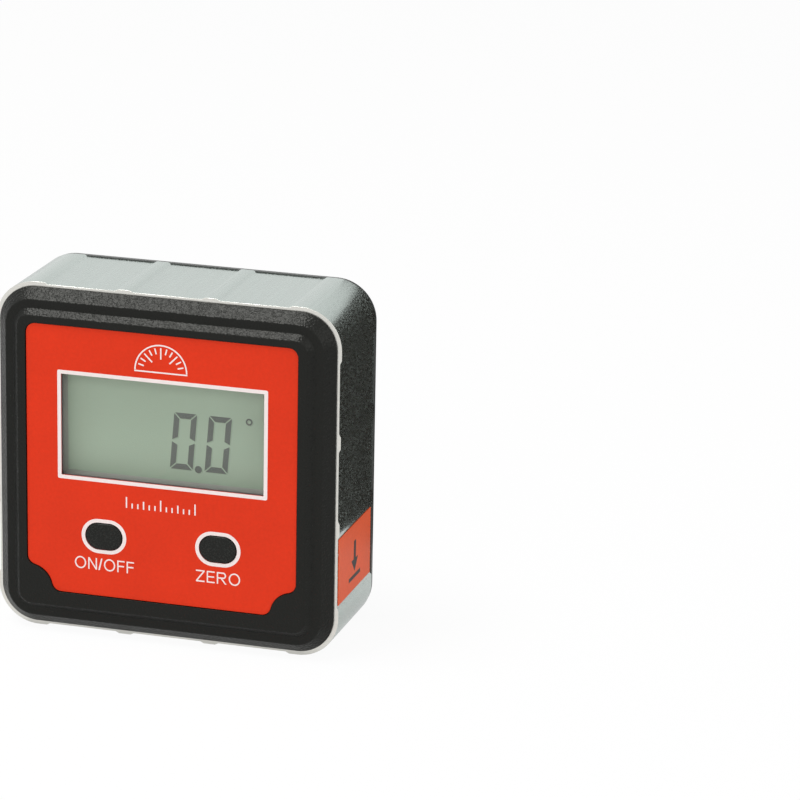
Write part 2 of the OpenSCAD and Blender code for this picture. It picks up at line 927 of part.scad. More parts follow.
// A thin sticker in the lower channel of the right side
module side_sticker() {
    edge = 0.6;
    side_x = body_w / 2 - channel_depth;
    half = channel_w / 2 - channel_ramp - fit_gap;
    color([0.94, 0.4, 0.25])
        translate([side_x, y_frame + edge, z_mid - channel_w - land_w - half])
            cube([sticker_t, frame_d - 2 * edge, 2 * half]);
}

frame();
front_cover();
front_overlay();
display_window();
lcd_panel();
lcd_holder();
zebra_strip();
circuit_board();
key_switch(-1);  // on_off_switch
key_switch(1);  // zero_switch
controller_chip();
tilt_sensor();
crystal();
capacitors();
board_screws();
key(-1);  // on_off_button
key_plunger(-1);  // on_off_plunger
key(1);  // zero_button
key_plunger(1);  // zero_plunger
rear_cover();
battery_door();
battery_upper();
battery_lower();
positive_plate();
negative_plate();
bridge_plate();
spring_upper();
spring_lower();
magnet(-1);  // magnet_left
magnet(0);  // magnet_middle
magnet(1);  // magnet_right
cover_screws();
side_sticker();
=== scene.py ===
import json
import math

import bmesh
import bpy
from bpy.props import FloatProperty, FloatVectorProperty, PointerProperty
from mathutils import Matrix, Vector

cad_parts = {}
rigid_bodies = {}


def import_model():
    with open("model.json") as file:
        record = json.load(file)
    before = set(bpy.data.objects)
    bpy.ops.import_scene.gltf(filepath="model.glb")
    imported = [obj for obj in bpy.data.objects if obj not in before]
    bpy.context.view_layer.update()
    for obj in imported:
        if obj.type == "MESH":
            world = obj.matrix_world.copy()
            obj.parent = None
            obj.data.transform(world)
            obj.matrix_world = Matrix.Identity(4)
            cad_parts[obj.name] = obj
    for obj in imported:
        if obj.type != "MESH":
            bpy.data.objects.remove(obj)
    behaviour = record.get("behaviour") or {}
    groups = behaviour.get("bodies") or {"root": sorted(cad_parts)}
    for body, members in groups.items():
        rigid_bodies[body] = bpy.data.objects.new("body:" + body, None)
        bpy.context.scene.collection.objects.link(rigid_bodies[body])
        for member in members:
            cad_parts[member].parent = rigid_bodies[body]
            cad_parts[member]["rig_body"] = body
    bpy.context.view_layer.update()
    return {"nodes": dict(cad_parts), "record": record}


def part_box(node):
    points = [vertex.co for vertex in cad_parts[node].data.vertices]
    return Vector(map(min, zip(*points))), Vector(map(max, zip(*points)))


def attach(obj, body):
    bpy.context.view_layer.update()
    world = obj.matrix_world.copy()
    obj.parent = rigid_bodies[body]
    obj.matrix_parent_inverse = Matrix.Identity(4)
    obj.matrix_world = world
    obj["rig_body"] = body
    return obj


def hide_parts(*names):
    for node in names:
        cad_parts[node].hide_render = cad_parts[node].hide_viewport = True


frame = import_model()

bl_info = {
    "name": "Digital angle gauge",
    "version": (1, 0, 0),
    "blender": (4, 5, 0),
    "location": "View3D > Sidebar > Gauge",
    "description": "Dresses a packed angle gauge with its finishes, print, display and stage",
    "category": "Object",
}

MM = 0.001
NODES = frame["nodes"]
SLOTS = {part["node"]: part["material_slot"] for part in frame["record"]["subparts"]}
FRAME_LO, FRAME_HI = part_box("frame")
FILM_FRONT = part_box("front_overlay")[0].y
LENS_LO, LENS_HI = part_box("display_window")
PANEL_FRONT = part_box("lcd_panel")[0].y
STICKER_LO, STICKER_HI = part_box("side_sticker")
CENTRE_Z = (FRAME_LO.z + FRAME_HI.z) / 2

# Vertices that lie closer than this are one
WELD = 0.001 * MM

# Faces that meet at less than the first angle are one flat, and at more than the second a crease
FLAT = math.radians(0.3)
CREASE = math.radians(40)

# Turns what is drawn in X and Y upright, so that it stands in X and Z and faces the front
UPRIGHT = Matrix.Rotation(math.radians(90), 4, "X")

# Tint of the gloss on the black mouldings and the keys
WARM_GLOSS = (1, 1, 0.94, 1)

# Widths of the capitals as shares of their height
LETTER_WIDTHS = {"O": 0.97, "N": 0.76, "/": 0.24, "F": 0.63, "Z": 0.74, "E": 0.68, "R": 0.83}

# Steps of a key's crown: how far in each lies from the last edge, and its share of the rise
CROWN_STEPS = ((0.9 * MM, 0.6), (0.8 * MM, 0.4))

# Width of the camera's sensor in millimetres
SENSOR_W = 36


def length(name, description, mm):
    """A length that a user may change; its default is given in millimetres"""
    return FloatProperty(
        name=name, description=description, default=mm * MM, unit="LENGTH", precision=6
    )


def angle(name, description, degrees):
    """An angle that a user may change; its default is given in degrees"""
    return FloatProperty(
        name=name, description=description, default=math.radians(degrees), unit="ROTATION"
    )


def share(name, description, default):
    """A plain number that a user may change"""
    return FloatProperty(name=name, description=description, default=default)


def tint(name, description, red, green, blue):
    """A colour that a user may change, in linear values"""
    return FloatVectorProperty(
        name=name, description=description, default=(red, green, blue, 1),
        size=4, min=0, max=1, subtype="COLOR",
    )


def position(name, description, x, y, z):
    """A point that a user may move; its default is given in millimetres"""
    return FloatVectorProperty(
        name=name, description=description, default=(x * MM, y * MM, z * MM),
        size=3, subtype="TRANSLATION", unit="LENGTH",
    )


class GaugeEdges(bpy.types.PropertyGroup):
    """Edge breaks of the rigid pieces, and the shape of the keys"""

    frame: length("Frame", "Edge break of the sawn frame", 0.06)
    moulding: length("Moulding", "Edge break of the moulded covers and the door", 0.06)
    film: length("Film", "Edge break of the films, the lens and the display", 0.03)
    screw: length("Screw", "Edge break of the screw heads and the magnets", 0.06)
    key_flange: length("Key flange", "Width of the flange behind the front cover", 0.85)
    key_flange_t: length("Key flange thickness", "Thickness of that flange", 0.6)
    key_round: length("Key rounding", "Rounding of a key's face edge", 0.2)
    key_crown: length("Key crown", "Rise of a key's face in the middle", 0.05)


class GaugePrint(bpy.types.PropertyGroup):
    """Sizes of the print on the film, the display, the sticker and the cells"""

    ink: length("Ink", "Thickness of the print", 0.02)
    lens_lip: length("Lens lip", "Width of the lens that the overlay covers", 0.8)
    border: length("Border", "Width of the border round the window", 0.64)
    border_round: length("Border rounding", "Outer rounding of the border's corners", 0.3)
    ring_w: length("Ring width", "Width of the ring round a key", 7.91)
    ring_h: length("Ring height", "Height of the ring round a key", 6.01)
    key_gap: length("Key gap", "Gap between a key and the film", 0.15)
    caption_h: length("Caption height", "Height of the capitals under the keys", 2.05)
    caption_z: length("Caption line", "Depth of the captions' line below the centre", 17.96)
    caption_t: length("Caption stroke", "Width of the letters' strokes", 0.23)
    caption_gap: length("Caption gap", "Gap between the letters", 0.37)
    on_off_x: length("ON/OFF place", "Left edge of the left caption", -15.16)
    zero_x: length("ZERO place", "Left edge of the right caption", 6.2)
    line: length("Line", "Width of the printed lines", 0.24)
    fan_r: length("Fan radius", "Outer radius of the angle fan above the window", 4.6)
    fan_z: length("Fan place", "Height of the fan's centre above the gauge's centre", 17.6)
    fan_base: length("Fan base", "Depth of the fan's base line below its centre", 0.048)
    fan_tick_r: length("Fan ticks", "Radius at which the fan's ticks end", 4.048)
    fan_long: length("Fan long tick", "Length of the fan's long ticks", 1.932)
    fan_short: length("Fan short tick", "Length of the fan's short ticks", 1.012)
    scale_w: length("Scale width", "Width of the tick scale below the window", 12.0)
    scale_z: length("Scale place", "Depth of the scale's base below the centre", 6.5)
    tick_long: length("Long tick", "Height of the scale's middle and end ticks", 1.9)
    tick_mid: length("Middle tick", "Height of the ticks halfway between those", 1.368)
    tick_short: length("Short tick", "Height of the other ticks", 0.855)
    digit_x: length("Digit place", "Left edge of the first digit's foot", 0.32)
    digit_z: length("Digit foot", "Height of the digits' foot above the centre", 0.0)
    digit_w: length("Digit width", "Width of a digit", 4.2)
    digit_h: length("Digit height", "Height of a digit", 10.0)
    digit_pitch: length("Digit pitch", "Distance from digit to digit", 6.05)
    digit_slant: angle("Digit slant", "Slant of the digits", 4.5)
    segment_w: length("Segment width", "Width of a digit's segments", 1.19)
    segment_gap: length("Segment gap", "Gap between a digit's segments", 0.22)
    segment_t: length("Segment thickness", "Thickness of the shown segments", 0.012)
    dot_d: length("Point", "Diameter of the decimal point", 1.25)
    dot_x: length("Point place", "Distance of the point to the left of the last digit", 0.952)
    dot_z: length("Point height", "Height of the point above the digits' foot", 0.38)
    degree_d: length("Degree ring", "Diameter of the degree ring", 1.2)
    degree_w: length("Degree line", "Width of that ring's line", 0.288)
    degree_x: length("Degree place", "Distance of the ring past the next digit's place", 1.78)
    degree_z: length("Degree depth", "Depth of the ring's middle below the digits' top", 0.5)
    # The segments' shadow on the reflector is painted: a darker copy of the digits, moved down and
    # to the right
    painted_shadow_x: length("Echo right", "Move of the segments' shadow to the right", 0.22)
    painted_shadow_z: length("Echo down", "Move of the segments' shadow down", 0.132)
    painted_shadow_t: length("Echo thickness", "Thickness of the segments' shadow", 0.004)
    mark_z: length("Mark place", "Height of the base mark above the sticker's lower edge", 2.0)
    mark_w: length("Mark width", "Width of the mark's base line", 6.4)
    mark_line: length("Mark line", "Height of that line", 0.7)
    arrow_gap: length("Arrow gap", "Gap between the arrow and the line", 0.5)
    arrow_w: length("Arrow width", "Width of the arrow's head", 3.6)
    arrow_h: length("Arrow height", "Height of the arrow's head", 2.2)
    shaft_w: length("Shaft width", "Width of the arrow's shaft", 1.1)
    shaft_h: length("Shaft height", "Height of the arrow's shaft", 3.2)
    cell_cap: length("Cell cap", "Bare steel at each end of a cell", 2.0)
    cell_band: length("Cell band", "Reach of the pale bands from each end of a cell", 11.0)


class GaugeColours(bpy.types.PropertyGroup):
    """Colours of the finishes, in linear values"""

    aluminium: tint("Aluminium", "Satin anodised sides of the frame", 0.46, 0.518, 0.488)
    cut: tint("Cut aluminium", "Sawn ends of the frame", 0.70, 0.69, 0.645)
    black: tint("Black plastic", "Moulded front cover", 0.005, 0.0054, 0.0047)
    # The rear cover and the door are of the front cover's black plastic; their paler colour is
    # painted light, for the light on the rear cover's edge that shows behind the frame
    rear: tint("Rear plastic", "Moulded rear cover and the door", 0.07, 0.074, 0.071)
    red: tint("Red film", "Overlay film", 0.645, 0.0305, 0.0054)
    white_ink: tint("White ink", "Print on the overlay", 0.81, 0.72, 0.70)
    display: tint("Display", "Reflector behind the liquid crystal", 0.42, 0.525, 0.405)
    segment: tint("Segment", "Shown segments", 0.165, 0.182, 0.163)
    # The shroud's grey is painted: the walls are the front cover's black plastic, made pale as a
    # painted reflection of the display
    shroud: tint("Shroud", "Walls between the lens and the display", 0.16, 0.155, 0.147)
    key: tint("Key", "Keys", 0.005, 0.0055, 0.005)
    orange: tint("Orange film", "Sticker", 0.93, 0.128, 0.045)
    black_ink: tint("Black ink", "Print on the sticker", 0.03, 0.028, 0.026)
    lens: tint("Lens", "Clear lens where it is clean", 0.02, 0.024, 0.022)
    haze: tint("Haze", "Clear lens where it is hazy", 0.03, 0.034, 0.031)
    nickel: tint("Nickel", "Magnets and contacts", 0.66, 0.65, 0.62)
    dark_steel: tint("Dark steel", "Cover screws", 0.16, 0.16, 0.165)
    board: tint("Board", "Solder mask", 0.02, 0.16, 0.06)
    rubber_dark: tint("Dark rubber", "Dark layers of the connector strip", 0.03, 0.03, 0.03)
    rubber_pale: tint("Pale rubber", "Pale layers of the connector strip", 0.42, 0.42, 0.40)
    holder: tint("Holder", "Display holder", 0.82, 0.82, 0.78)
    switch: tint("Switch", "Switches and their plungers", 0.03, 0.03, 0.03)
    chip: tint("Chip", "Chip and sensor", 0.02, 0.02, 0.021)
    ceramic: tint("Ceramic", "Capacitors", 0.42, 0.30, 0.18)
    jacket: tint("Jacket", "The cells' jackets", 0.055, 0.075, 0.095)
    band: tint("Band", "Bands near the ends of the cells' jackets", 0.46, 0.48, 0.48)


class GaugeStage(bpy.types.PropertyGroup):
    """Camera, lamps, floor and flag"""

    azimuth: angle("Azimuth", "Turn of the camera to the right of the display", 15.95)
    elevation: angle("Elevation", "Height of the camera over the display", 16.86)
    roll: angle("Roll", "Roll of the camera", 1.07)
    distance: length("Distance", "Distance of the camera from the frame's front", 667.0)
    right: length("Right", "Move of the camera along its own right", 38.6)
    up: length("Up", "Move of the camera along its own up", 11.4)
    lens: share("Lens", "Focal length on a 36 mm sensor, in millimetres", 181.2)
    ambient: share("Ambient", "Level of the white room round the object", 0.30)
    key_place: position("Key place", "Middle of the large lamp at the front", 50, -980, 470)
    key_size: length("Key size", "Width of that lamp", 700)
    key_power: share("Key power", "Power of that lamp, in watts", 4.0)
    top_place: position("Top place", "Middle of the lamp overhead", -250, -180, 920)
    top_size: length("Top size", "Width of that lamp", 450)
    top_power: share("Top power", "Power of that lamp, in watts", 6.8)
    fill_place: position("Fill place", "Middle of the lamp at the right", 900, -350, 500)
    fill_size: length("Fill size", "Width of that lamp", 600)
    fill_power: share("Fill power", "Power of that lamp, in watts", 1.6)
    floor_reach: length("Floor reach", "Distance from the floor's middle to its edge", 4000)
    floor_drop: length("Floor drop", "Gap between the frame and the floor", 0.02)
    floor_glow: share("Floor glow", "How much of the floor is seen as plain white", 0.94)
    floor_mirrored: share("Mirrored floor", "Share of that white in metal and glass", 0.6)
    floor_dark: tint("Dark floor", "Floor where it is darkest", 0.86, 0.86, 0.86)
    floor_pale: tint("Pale floor", "Floor where it is palest", 0.9, 0.9, 0.9)
    flag_left: length("Flag left", "Left edge of the dark flag behind the right side", 20)
    flag_right: length("Flag right", "Right edge of the flag", 260)
    flag_foot: length("Flag foot", "Lower edge of the flag", 5)
    flag_head: length("Flag head", "Upper edge of the flag", 70)
    flag_y: length("Flag depth", "Place of the flag behind the gauge's middle", 35)
    flag_dark: tint("Dark cloth", "Flag between its threads", 0.0165, 0.0147, 0.012)
    flag_pale: tint("Pale cloth", "Flag on its threads", 0.034, 0.0313, 0.027)


class Wire:
    """A shader socket in Python expressions on values, where a | b is the larger of two"""

    def __init__(self, tree, socket):
        self.tree = tree
        self.socket = socket

    def maths(self, operation, first, second):
        """A Math node of two values or wires"""
        node = self.tree.nodes.new("ShaderNodeMath")
        node.operation = operation
        for socket, value in zip(node.inputs, (first, second)):
            if isinstance(value, Wire):
                self.tree.links.new(value.socket, socket)
            else:
                socket.default_value = value
        return Wire(self.tree, node.outputs[0])

    def __add__(self, other):
        return self.maths("ADD", self, other)

    def __radd__(self, other):
        return self.maths("ADD", other, self)

    def __sub__(self, other):
        return self.maths("SUBTRACT", self, other)

    def __rsub__(self, other):
        return self.maths("SUBTRACT", other, self)

    def __mul__(self, other):
        return self.maths("MULTIPLY", self, other)

    def __rmul__(self, other):
        return self.maths("MULTIPLY", other, self)

    def __gt__(self, other):
        return self.maths("GREATER_THAN", self, other)

    def __lt__(self, other):
        return self.maths("LESS_THAN", self, other)

    def __or__(self, other):
        return self.maths("MAXIMUM", self, other)

    def __ror__(self, other):
        return self.maths("MAXIMUM", other, self)


class Shading:
    """A node tree under construction, to which node() adds every node"""

    def __init__(self, owner):
        owner.use_nodes = True
        self.owner = owner
        self.tree = owner.node_tree
        self.places = None

    @staticmethod
    def socket(sockets, key):
        """A socket by its number, its identifier or its name"""
        if isinstance(key, int):
            return sockets[key]
        return next(s for s in sockets if key in (s.identifier, s.name))

    def put(self, node, key, value):
        """Links a wire to a node's socket, or sets a constant there"""
        socket = self.socket(node.inputs, key)
        if isinstance(value, Wire):
            self.tree.links.new(value.socket, socket)
        else:
            socket.default_value = value

    def node(self, kind, settings=None, inputs=None, output=0):
        """Adds a node of that type with its settings and its sockets' values or links"""
        node = self.tree.nodes.new(kind)
        for name, value in (settings or {}).items():
            setattr(node, name, value)
        for key, value in (inputs or {}).items():
            self.put(node, key, value)
        return Wire(self.tree, self.socket(node.outputs, output))

    def point(self):
        """The point of the surface in Object coordinates"""
        if self.places is None:
            self.places = self.node("ShaderNodeTexCoord", output="Object")
        return self.places

    def axis(self, name):
        """One coordinate of that point"""
        return self.node("ShaderNodeSeparateXYZ", inputs={"Vector": self.point()}, output=name)

    def noise(self, per_metre, detail=2.0, rough=0.5, stretch=None):
        """Noise of about so many spots a metre, drawn out by stretch along the axes"""
        point = self.point()
        if stretch:
            point = self.node(
                "ShaderNodeVectorMath", {"operation": "MULTIPLY"}, {0: point, 1: stretch}
            )
        return self.node(
            "ShaderNodeTexNoise", None,
            {"Vector": point, "Scale": per_metre, "Detail": detail, "Roughness": rough},
        )

    def blend(self, factor, first, second):
        """A colour between two colours"""
        return self.node(
            "ShaderNodeMix", {"data_type": "RGBA"},
            {"Factor_Float": factor, "A_Color": first, "B_Color": second}, "Result_Color",
        )

    def vary(self, factor, colour, dark, pale):
        """A colour between a dark and a pale shade of itself"""
        return self.blend(factor, shade(colour, dark), shade(colour, pale))

    def bump(self, height, depth):
        """A normal that is bent by a height; depth is in metres"""
        return self.node("ShaderNodeBump", None, {"Distance": depth, "Height": height}, "Normal")


class Finish(Shading):
    """A material with one principled shader"""

    def __init__(self, name, **constants):
        super().__init__(bpy.data.materials.new(name))
        self.shader = self.tree.nodes["Principled BSDF"]
        self.wear(**constants)

    def wear(self, **sockets):
        """Sets the shader's sockets; a name's underscores stand for spaces"""
        for name, value in sockets.items():
            self.put(self.shader, name.replace("_", " "), value)
        return self.owner


def shade(colour, factor):
    """A colour made darker or lighter"""
    return [min(1, channel * factor) for channel in colour[:3]] + [1]


def anodised_aluminium(colours):
    """Blasted and anodised: fine grain, with faint lines along the extrusion"""
    look = Finish("anodised_aluminium", Metallic=1)
    grain = look.noise(4600, detail=1.0)
    lines = look.noise(2200, detail=1.0, stretch=(1, 0.02, 1))
    tone = grain * 0.7 + lines * 0.3
    dull = (grain - 0.415) * 1.75
    return look.wear(
        Base_Color=look.vary(tone, colours.aluminium, 0.78, 1.18),
        Roughness=dull | 0.15,
        Normal=look.bump(tone, 0.012 * MM),
    )


def cut_aluminium(colours):
    """Sawn ends of the frame: bright, with short saw marks"""
    look = Finish("cut_aluminium", Metallic=1)
    marks = look.noise(2600, rough=0.6, stretch=(0.12, 1, 1))
    return look.wear(
        Base_Color=look.vary(marks, colours.cut, 0.86, 1.08),
        Roughness=0.24 + marks * 0.2,
        Normal=look.bump(marks, 0.003 * MM),
    )


def moulded_black(name, colour):
    """Dark plastic with the coarse grain of a spark-eroded mould, which glints on its peaks"""
    look = Finish(name, Specular_IOR_Level=0.2, Specular_Tint=WARM_GLOSS)
    grain = look.noise(3200, detail=0.5)
    cloud = look.noise(90)
    return look.wear(
        Base_Color=look.vary(grain * 0.6 + cloud * 0.4, colour, 0.75, 1.3),
        Roughness=0.28 + grain * 0.1,
        Normal=look.bump(grain, 0.115 * MM),
    )


def shroud_with_painted_reflection(colours):
    """The smooth walls between the lens and the display: black plastic painted grey and paler
    towards the display, as a painted reflection of the display
    """
    look = Finish("shroud", Specular_IOR_Level=0.5)
    cloud = look.noise(700)
    # Paler with depth towards the display: the painted reflection of the display on the walls
    depth = (look.axis("Y") - LENS_HI.y) * (1 / (PANEL_FRONT - LENS_HI.y))
    return look.wear(
        Base_Color=look.vary(depth + cloud * 0.2 - 0.1, colours.shroud, 1.2, 2.4),
        Roughness=0.32 + cloud * 0.08,
    )


def red_film(colours):
    """Printed film with a satin face and faint orange peel"""
    look = Finish("red_film", Specular_IOR_Level=0.16)
    peel = look.noise(1900)
    cloud = look.noise(70, detail=3.0, rough=0.6)
    return look.wear(
        Base_Color=look.vary(cloud * 0.55 + peel * 0.45, colours.red, 0.8, 1.2),
        Roughness=0.40 + peel * 0.1,
        Normal=look.bump(peel, 0.002 * MM),
    )


def screen_ink(name, colour):
    """Screen-printed ink: slightly uneven in cover"""
    look = Finish(name, Specular_IOR_Level=0.3)
    cover = look.noise(1600, detail=3.0, rough=0.6)
    return look.wear(
        Base_Color=look.vary(cover, colour, 0.93, 1.05),
        Roughness=0.48 + cover * 0.1,
    )


def clear_lens(colours):
    """Thin clear sheet: nearly all alpha, with its gloss left"""
    look = Finish("clear_lens", Specular_IOR_Level=0.5)
    haze = look.noise(400)
    return look.wear(
        Base_Color=look.blend(haze, colours.lens[:], colours.haze[:]),
        Roughness=0.04 + haze * 0.02,
        Alpha=0.06 + haze * 0.01,
    )


def display_reflector(colours):
    """Reflective liquid crystal: fine speckle of the reflector under a satin polariser"""
    look = Finish("display_glass", Specular_IOR_Level=0.25)
    speckle = look.noise(4200, rough=0.6)
    cloud = look.noise(60)
    return look.wear(
        Base_Color=look.vary(speckle * 0.4 + cloud * 0.6, colours.display, 0.94, 1.05),
        Roughness=0.42 + speckle * 0.06,
    )


def segment_ink(name, colour):
    """Switched liquid crystal, and the segments' painted shadow on the reflector: both nearly even,
    with the reflector's speckle
    """
    look = Finish(name, Specular_IOR_Level=0.25)
    speckle = look.noise(4200, rough=0.6)
    return look.wear(
        Base_Color=look.vary(speckle, colour, 0.95, 1.05),
        Roughness=0.45 + speckle * 0.05,
    )


def key_plastic(colours):
    """Keys: satin with a fine grain whose peaks are a little paler"""
    look = Finish("key_plastic", Specular_IOR_Level=0.2, Specular_Tint=WARM_GLOSS)
    grain = look.noise(4200, detail=1.0)
    return look.wear(
        Base_Color=look.vary((grain - 0.48) * 4, colours.key, 1.3, 3.2),
        Roughness=0.22 + grain * 0.1,
        Normal=look.bump(grain, 0.04 * MM),
    )


def orange_film(colours):
    """Sticker: satin film, slightly uneven in colour"""
    look = Finish("orange_film", Specular_IOR_Level=0.08)
    cloud = look.noise(160, detail=3.0)
    grain = look.noise(2600, detail=1.0)
    return look.wear(
        Base_Color=look.vary(cloud * 0.4 + grain * 0.6, colours.orange, 0.8, 1.2),
        Roughness=0.4 + cloud * 0.1,
    )


def plated(name, colour, polish, per_metre, depth):
    """Plated metal with fine wiping lines, so many a metre and so deep"""
    look = Finish(name, Metallic=1)
    lines = look.noise(per_metre, rough=0.6, stretch=(0.15, 1, 1))
    cloud = look.noise(220)
    return look.wear(
        Base_Color=look.vary(lines * 0.5 + cloud * 0.5, colour, 0.86, 1.1),
        Roughness=polish + lines * 0.14,
        Normal=look.bump(lines, depth),
    )


def moulded(name, colour, roughness, per_metre):
    """Plain moulded plastic, resin or ceramic with a fine grain"""
    look = Finish(name)
    grain = look.noise(per_metre)
    return look.wear(
        Base_Color=look.vary(grain, colour, 0.85, 1.12),
        Roughness=roughness + grain * 0.12,
        Normal=look.bump(grain, 0.004 * MM),
    )


def striped_rubber(colours):
    """Connector strip: dark and pale layers across its length"""
    look = Finish("grey_rubber")
    layers = look.node(
        "ShaderNodeTexWave", {"wave_type": "BANDS", "bands_direction": "X"},
        {"Vector": look.point(), "Scale": 900.0, "Distortion": 0.0}, "Fac",
    )
    return look.wear(
        Base_Color=look.blend(layers > 0.5, colours.rubber_dark[:], colours.rubber_pale[:]),
        Roughness=0.6 + layers * 0.1,
    )


def solder_mask(colours):
    """Circuit board: green mask over tracks that run across it"""
    look = Finish("green_board", Coat_Weight=0.3)
    tracks = look.node(
        "ShaderNodeTexBrick", {"offset": 0.5},
        {
            "Vector": look.node(
                "ShaderNodeMapping", None,
                {"Vector": look.point(), "Rotation": (math.radians(-90), 0, 0)}, "Vector",
            ),
            "Color1": (1, 1, 1, 1), "Color2": (1, 1, 1, 1), "Mortar": (0, 0, 0, 1),
            "Scale": 260.0, "Mortar Size": 0.035, "Brick Width": 1.7, "Row Height": 0.36,
        }, "Fac",
    )
    cloud = look.noise(300)
    return look.wear(
        Base_Color=look.vary(tracks * 0.6 + cloud * 0.25, colours.board, 0.8, 1.9),
        Roughness=0.28 + cloud * 0.1,
        Normal=look.bump(tracks, 0.02 * MM),
    )


def cell_jacket(colours):
    """Cells: a dark jacket with a pale band near each end, and bare steel at the ends"""
    look = Finish("cell_jacket")
    sizes = bpy.context.scene.gauge_print
    lo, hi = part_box("battery_upper")
    middle, half = (lo.x + hi.x) / 2, (hi.x - lo.x) / 2
    away = look.node("ShaderNodeMath", {"operation": "ABSOLUTE"}, {0: look.axis("X") - middle})
    steel = away > half - sizes.cell_cap
    band = away > half - sizes.cell_band
    cloud = look.noise(300)
    jacket = look.blend(band, colours.jacket[:], colours.band[:])
    return look.wear(
        Base_Color=look.blend(steel, jacket, colours.nickel[:]),
        Metallic=0.3 + steel * 0.7,
        Roughness=0.3 + cloud * 0.12,
    )


def finishes():
    """Every finish by its name, in place of the plain ones that came with the frame"""
    colours = bpy.context.scene.gauge_colours
    if "cut_aluminium" not in bpy.data.materials:
        for node in NODES.values():
            node.data.materials.clear()
        for plain in list(bpy.data.materials):
            bpy.data.materials.remove(plain)
        for make in (
            anodised_aluminium, cut_aluminium, shroud_with_painted_reflection, red_film, clear_lens, display_reflector,
            key_plastic, orange_film, striped_rubber, solder_mask, cell_jacket,
        ):
            make(colours)
        moulded_black("black_plastic", colours.black)
        # Paler than the front cover's plastic: painted light on the rear cover and the door
        moulded_black("rear_plastic", colours.rear)
        screen_ink("white_ink", colours.white_ink)
        screen_ink("black_ink", colours.black_ink)
        segment_ink("segment_ink", colours.segment)
        # A darker copy of the display's colour: the segments' painted shadow
        segment_ink("segment_echo", shade(colours.display, 0.86))
        plated("nickel", colours.nickel, polish=0.16, per_metre=2400, depth=0.0015 * MM)
        plated("plated_steel", colours.nickel, polish=0.26, per_metre=3000, depth=0.003 * MM)
        plated("dark_steel", colours.dark_steel, polish=0.32, per_metre=3000, depth=0.004 * MM)
        moulded("white_plastic", colours.holder, roughness=0.45, per_metre=2400)
        moulded("switch_plastic", colours.switch, roughness=0.45, per_metre=2600)
        moulded("chip_resin", colours.chip, roughness=0.55, per_metre=4200)
        moulded("capacitor_ceramic", colours.ceramic, roughness=0.4, per_metre=5200)
    return bpy.data.materials


def add_piece(name, bm, body, materials, replaced=()):
    """Makes a bmesh a piece of the gauge that rides on a body and takes a slot's finish"""
    mesh = bpy.data.meshes.new(name)
    bm.to_mesh(mesh)
    bm.free()
    if not mesh.polygons:
        raise RuntimeError(f"{name} has no faces")
    for material in materials:
        mesh.materials.append(finishes()[material])
    mesh.shade_smooth()
    mesh.set_sharp_from_angle(angle=CREASE)
    piece = bpy.data.objects.new(name, mesh)
    bpy.context.scene.collection.objects.link(piece)
    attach(piece, body)
    if replaced:
        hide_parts(*replaced)
    return piece


def stand_in(node, bm, materials=None):
    """Makes a bmesh the piece that stands in place of a CAD node"""
    slot = SLOTS[node]
    return add_piece(node + "_piece", bm, NODES[node]["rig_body"], materials or [slot], [node])


def merged_copy(node):
    """A CAD node's mesh with its loose triangles merged into whole faces"""
    bm = bmesh.new()
    bm.from_mesh(NODES[node].data)
    for face in bm.faces:
        face.material_index = 0
    bmesh.ops.remove_doubles(bm, verts=bm.verts, dist=WELD)
    bmesh.ops.dissolve_limit(
        bm, angle_limit=FLAT, use_dissolve_boundaries=False, verts=bm.verts, edges=bm.edges
    )
    return bm


def break_edges(bm, width):
    """Rounds every crease"""
    sharp = [e for e in bm.edges if len(e.link_faces) == 2 and e.calc_face_angle() > CREASE]
    bmesh.ops.bevel(
        bm, geom=sharp, offset=width, offset_type="OFFSET", affect="EDGES", segments=3,
        profile=0.5, material=-1, clamp_overlap=False, loop_slide=True,
    )


def keep_flats(piece):
    """Weighs the normals by face area, so that broken edges don't bend the flats' shading"""
    weigh = piece.modifiers.new("flat_normals", "WEIGHTED_NORMAL")
    weigh.keep_sharp = True
    weigh.weight = 100


def dress(node, edge, materials=None, paint=None):
    """A piece in place of a CAD node: the same solid with its edges broken"""
    bm = merged_copy(node)
    break_edges(bm, edge)
    if paint:
        for face in bm.faces:
            face.material_index = paint(face)
    keep_flats(stand_in(node, bm, materials))


def added_faces(bm, before):
    """The faces that weren't there before"""
    return [face for face in bm.faces if face not in before]


def corners_of(faces):
    """The vertices of some faces, each once"""
    return list(dict.fromkeys(vert for face in faces for vert in face.verts))


def face_front(faces):
    """Turns flat faces towards the front"""
    for face in faces:
        if face.normal.y > 0:
            face.normal_flip()


def patch(bm, x0, x1, z0, z1, radius=0.0):
    """A flat face in X and Z that faces the front, with round corners"""
    before = set(bm.faces)
    place = Matrix.Translation(((x0 + x1) / 2, 0, (z0 + z1) / 2)) @ UPRIGHT
    size = Matrix.Diagonal((x1 - x0, z1 - z0, 1, 1))
    made = bmesh.ops.create_grid(bm, x_segments=1, y_segments=1, size=0.5, matrix=place @ size)
    if radius:
        bmesh.ops.bevel(
            bm, geom=made["verts"], offset=radius, affect="VERTICES", segments=16,
            profile=0.5, material=-1,
        )
        fresh = corners_of(added_faces(bm, before))
        bmesh.ops.remove_doubles(bm, verts=fresh, dist=WELD)
    return added_faces(bm, before)


def disc(bm, x, z, wide, high=None):
    """A flat round or oval face that faces the front"""
    before = set(bm.faces)
    size = Matrix.Diagonal((wide, high or wide, 1, 1))
    place = Matrix.Translation((x, 0, z)) @ UPRIGHT @ size
    bmesh.ops.create_circle(bm, cap_ends=True, segments=40, radius=0.5, matrix=place)
    return added_faces(bm, before)


def half_band(bm, centre, inner, outer, start, steps=24):
    """A flat half ring that runs from the start's angle anticlockwise, as seen from the front"""
    ray = Vector((math.cos(start), 0, math.sin(start)))
    ends = [bm.verts.new(centre + ray * reach) for reach in (inner, outer)]
    edge = bm.edges.new(ends)
    bmesh.ops.spin(
        bm, geom=[edge, *ends], cent=centre, axis=(0, -1, 0), angle=math.pi, steps=steps
    )


